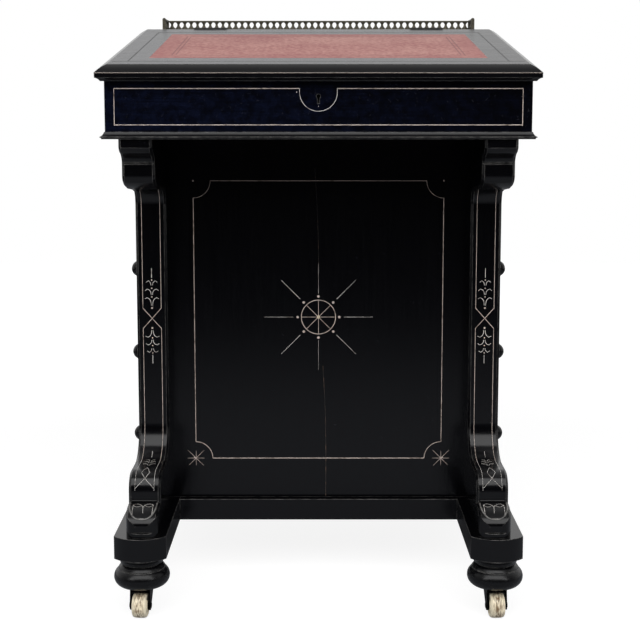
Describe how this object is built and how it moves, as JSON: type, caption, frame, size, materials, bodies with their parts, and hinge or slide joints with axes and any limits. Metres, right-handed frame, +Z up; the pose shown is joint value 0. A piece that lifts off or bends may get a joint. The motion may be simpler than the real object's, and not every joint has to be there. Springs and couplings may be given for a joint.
{
  "type": "davenport desk",
  "caption": "Ebonised davenport writing desk: hinged sloping lid with leather, brass gallery, side drawers, scroll legs, bun feet and castors; incised gilt lines",
  "frame": {"origin": "on the floor under the middle of the desk's outline", "axes": "+X to the sitter's right, the drawer side; +Y to the back; +Z up"},
  "size_m": [0.55, 0.52, 0.8064],
  "materials": {
    "ebonised_wood": "ebonised and polished",
    "lining_wood": "plain waxed lining wood",
    "leather": "faded red skiver",
    "gallery_brass": "aged cast brass",
    "fitting_brass": "dull brass",
    "castor_metal": "blackened iron",
    "castor_wheel": "pale worn brass"
  },
  "bodies": {
    "carcase": {"desk_front": "ebonised_wood", "desk_side_left": "ebonised_wood", "desk_side_right": "ebonised_wood", "desk_back": "ebonised_wood", "desk_bottom": "lining_wood", "fixed_top": "ebonised_wood", "desk_moulding": "ebonised_wood", "gallery_strips": "gallery_brass", "gallery_spindles": "gallery_brass", "gallery_posts": "gallery_brass", "till_case": "lining_wood", "lock_case": "fitting_brass", "hinge_fixed_leaves": "fitting_brass", "hinge_pins": "fitting_brass", "corner_posts": "ebonised_wood", "front_panel": "ebonised_wood", "back_panel": "ebonised_wood", "pedestal_floor": "lining_wood", "drawer_rails_right": "ebonised_wood", "drawer_rails_left": "ebonised_wood", "left_backing": "lining_wood", "drawer_runners": "lining_wood", "dummy_drawer_fronts": "ebonised_wood", "dummy_knobs": "ebonised_wood", "scroll_leg_left": "ebonised_wood", "scroll_leg_right": "ebonised_wood", "plinth_arm_left": "ebonised_wood", "plinth_arm_right": "ebonised_wood", "plinth_rails": "ebonised_wood", "bun_feet": "ebonised_wood", "castor_sockets": "castor_metal"},
    "lid": {"lid_board": "ebonised_wood", "lid_edging": "ebonised_wood", "lid_leather": "leather", "hinge_lid_leaves": "fitting_brass", "lock_link": "fitting_brass"},
    "lock_bolt": {"lock_bolt": "fitting_brass"},
    "drawer_1": {"drawer_1_front": "ebonised_wood", "drawer_1_box": "lining_wood", "drawer_1_knobs": "ebonised_wood"},
    "drawer_2": {"drawer_2_front": "ebonised_wood", "drawer_2_box": "lining_wood", "drawer_2_knobs": "ebonised_wood"},
    "drawer_3": {"drawer_3_front": "ebonised_wood", "drawer_3_box": "lining_wood", "drawer_3_knobs": "ebonised_wood"},
    "drawer_4": {"drawer_4_front": "ebonised_wood", "drawer_4_box": "lining_wood", "drawer_4_knobs": "ebonised_wood"},
    "till_drawer_left": {"till_drawer_left": "lining_wood"},
    "till_drawer_right": {"till_drawer_right": "lining_wood"},
    "castor_fl": {"castor_fork_fl": "castor_metal"},
    "wheel_fl": {"castor_wheel_fl": "castor_wheel"},
    "castor_fr": {"castor_fork_fr": "castor_metal"},
    "wheel_fr": {"castor_wheel_fr": "castor_wheel"},
    "castor_rl": {"castor_fork_rl": "castor_metal"},
    "wheel_rl": {"castor_wheel_rl": "castor_wheel"},
    "castor_rr": {"castor_fork_rr": "castor_metal"},
    "wheel_rr": {"castor_wheel_rr": "castor_wheel"}
  },
  "joints": [
    {"name": "lid_hinge", "type": "hinge", "parent": "carcase", "child": "lid", "pos_m": [0, 0.148, 0.785], "axis": [-1, 0, 0], "range_deg": [0, 105]},
    {"name": "lock_bolt_slide", "type": "slide", "parent": "carcase", "child": "lock_bolt", "axis": [-1, 0, 0], "range_m": [0, 0.009]},
    {"name": "drawer_1_slide", "type": "slide", "parent": "carcase", "child": "drawer_1", "axis": [1, 0, 0], "range_m": [0, 0.33]},
    {"name": "drawer_2_slide", "type": "slide", "parent": "carcase", "child": "drawer_2", "axis": [1, 0, 0], "range_m": [0, 0.33]},
    {"name": "drawer_3_slide", "type": "slide", "parent": "carcase", "child": "drawer_3", "axis": [1, 0, 0], "range_m": [0, 0.33]},
    {"name": "drawer_4_slide", "type": "slide", "parent": "carcase", "child": "drawer_4", "axis": [1, 0, 0], "range_m": [0, 0.33]},
    {"name": "till_drawer_left_slide", "type": "slide", "parent": "carcase", "child": "till_drawer_left", "axis": [0, -1, 0], "range_m": [0, 0.06]},
    {"name": "till_drawer_right_slide", "type": "slide", "parent": "carcase", "child": "till_drawer_right", "axis": [0, -1, 0], "range_m": [0, 0.06]},
    {"name": "castor_fl_swivel", "type": "hinge", "parent": "carcase", "child": "castor_fl", "pos_m": [-0.232, -0.219, 0.0392], "axis": [0, 0, 1], "continuous": true},
    {"name": "castor_fl_roll", "type": "hinge", "parent": "castor_fl", "child": "wheel_fl", "pos_m": [-0.23286, -0.23127, 0.0165], "axis": [0.9976, -0.0698, 0], "continuous": true},
    {"name": "castor_fr_swivel", "type": "hinge", "parent": "carcase", "child": "castor_fr", "pos_m": [0.232, -0.219, 0.0392], "axis": [0, 0, 1], "continuous": true},
    {"name": "castor_fr_roll", "type": "hinge", "parent": "castor_fr", "child": "wheel_fr", "pos_m": [0.23286, -0.23127, 0.0165], "axis": [0.9976, 0.0698, 0], "continuous": true},
    {"name": "castor_rl_swivel", "type": "hinge", "parent": "carcase", "child": "castor_rl", "pos_m": [-0.232, 0.219, 0.0392], "axis": [0, 0, 1], "continuous": true},
    {"name": "castor_rl_roll", "type": "hinge", "parent": "castor_rl", "child": "wheel_rl", "pos_m": [-0.23621, 0.23056, 0.0165], "axis": [-0.9397, -0.342, 0], "continuous": true},
    {"name": "castor_rr_swivel", "type": "hinge", "parent": "carcase", "child": "castor_rr", "pos_m": [0.232, 0.219, 0.0392], "axis": [0, 0, 1], "continuous": true},
    {"name": "castor_rr_roll", "type": "hinge", "parent": "castor_rr", "child": "wheel_rr", "pos_m": [0.23621, 0.23056, 0.0165], "axis": [-0.9397, 0.342, 0], "continuous": true}
  ]
}
